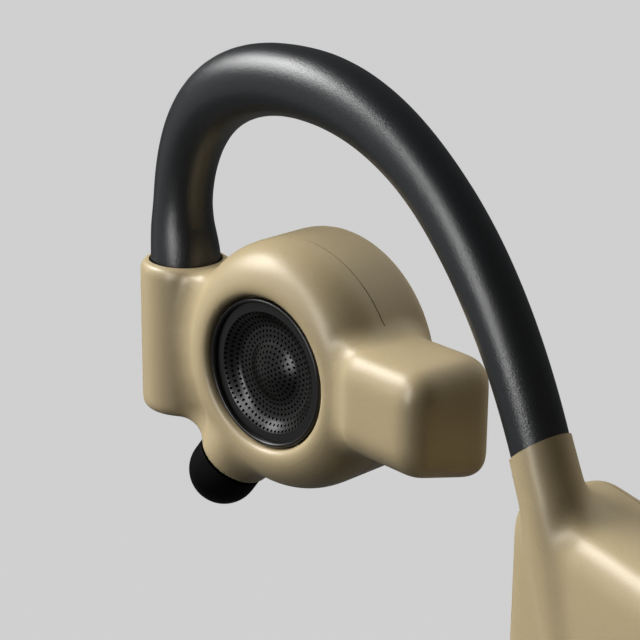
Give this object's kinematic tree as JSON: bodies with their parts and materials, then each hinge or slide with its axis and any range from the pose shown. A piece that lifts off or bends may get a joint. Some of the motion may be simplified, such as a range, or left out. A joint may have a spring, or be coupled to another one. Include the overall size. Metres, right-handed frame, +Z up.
{
  "type": "ear-hook headset microphone",
  "caption": "Open-ear headset for the right ear: round speaker pod with a stub microphone, swivelling on a soft hook that runs over the ear to a battery and control housing.",
  "frame": {"origin": "the point under the hook's crest where the ear carries the headset", "axes": "+X to the back of the head, +Y away from the head, +Z up"},
  "size_m": [0.0747, 0.018, 0.0488],
  "materials": {
    "champagne": "satin metallic",
    "soft_black": "soft touch",
    "grille_black": "satin",
    "mic_black": "matte",
    "steel": "bright",
    "magnet": "nickel plated",
    "copper": "wound wire",
    "gold": "plated",
    "film": "thin film",
    "dark_plastic": "matte",
    "board": "solder mask",
    "foam": "open foam",
    "cell": "foil",
    "rubber": "matte",
    "light": "clear"
  },
  "bodies": {
    "hook": {"hook_sleeve": "soft_black", "hook_wire": "steel", "signal_lead": "dark_plastic", "swivel_stem": "steel", "friction_washer": "dark_plastic", "stem_clip": "steel", "rear_ferrule": "steel", "housing_inner_shell": "champagne", "housing_outer_shell": "champagne", "housing_seal": "rubber", "main_board": "board", "battery_cell": "cell", "battery_pad": "foam", "radio_shield": "steel", "antenna": "cell", "board_screw_1": "steel", "board_screw_2": "steel", "power_switch": "steel", "volume_down_switch": "steel", "volume_up_switch": "steel", "status_led": "light", "light_pipe": "light", "charging_pin_1": "gold", "charging_pin_2": "gold"},
    "pod": {"pod_front_shell": "champagne", "pod_rear_cover": "champagne", "barrel_plug": "champagne", "speaker_grille": "grille_black", "grille_bezel": "grille_black", "driver_gasket": "rubber", "driver_frame": "dark_plastic", "driver_surround": "rubber", "driver_top_plate": "steel", "driver_magnet": "magnet", "driver_yoke": "steel", "pod_board": "board", "chamber_foam": "foam", "mic_cap": "mic_black", "mic_capsule": "steel", "mic_seat": "rubber"},
    "cone": {"diaphragm": "film", "voice_coil": "copper"},
    "power": {"power_button": "champagne"},
    "volume": {"volume_rocker": "champagne"}
  },
  "joints": [
    {"name": "pod_swivel", "type": "hinge", "parent": "hook", "child": "pod", "pos_m": [-0.01604, 0.0014, -0.0218], "axis": [0, 0, 1], "range_deg": [-15, 15]},
    {"name": "cone_stroke", "type": "slide", "parent": "pod", "child": "cone", "axis": [0, 1, 0], "range_m": [-0.00025, 0.00025], "stiffness_N_per_m": 500},
    {"name": "power_press", "type": "slide", "parent": "hook", "child": "power", "axis": [-0.2756, -0.9613, 0], "range_m": [0, 0.00035], "stiffness_N_per_m": 1500},
    {"name": "volume_rock", "type": "hinge", "parent": "hook", "child": "volume", "pos_m": [0.04296, 0.00003, -0.03549], "axis": [0, 0, 1], "range_deg": [-3.5, 3.5], "stiffness_Nm_per_rad": 0.035}
  ]
}
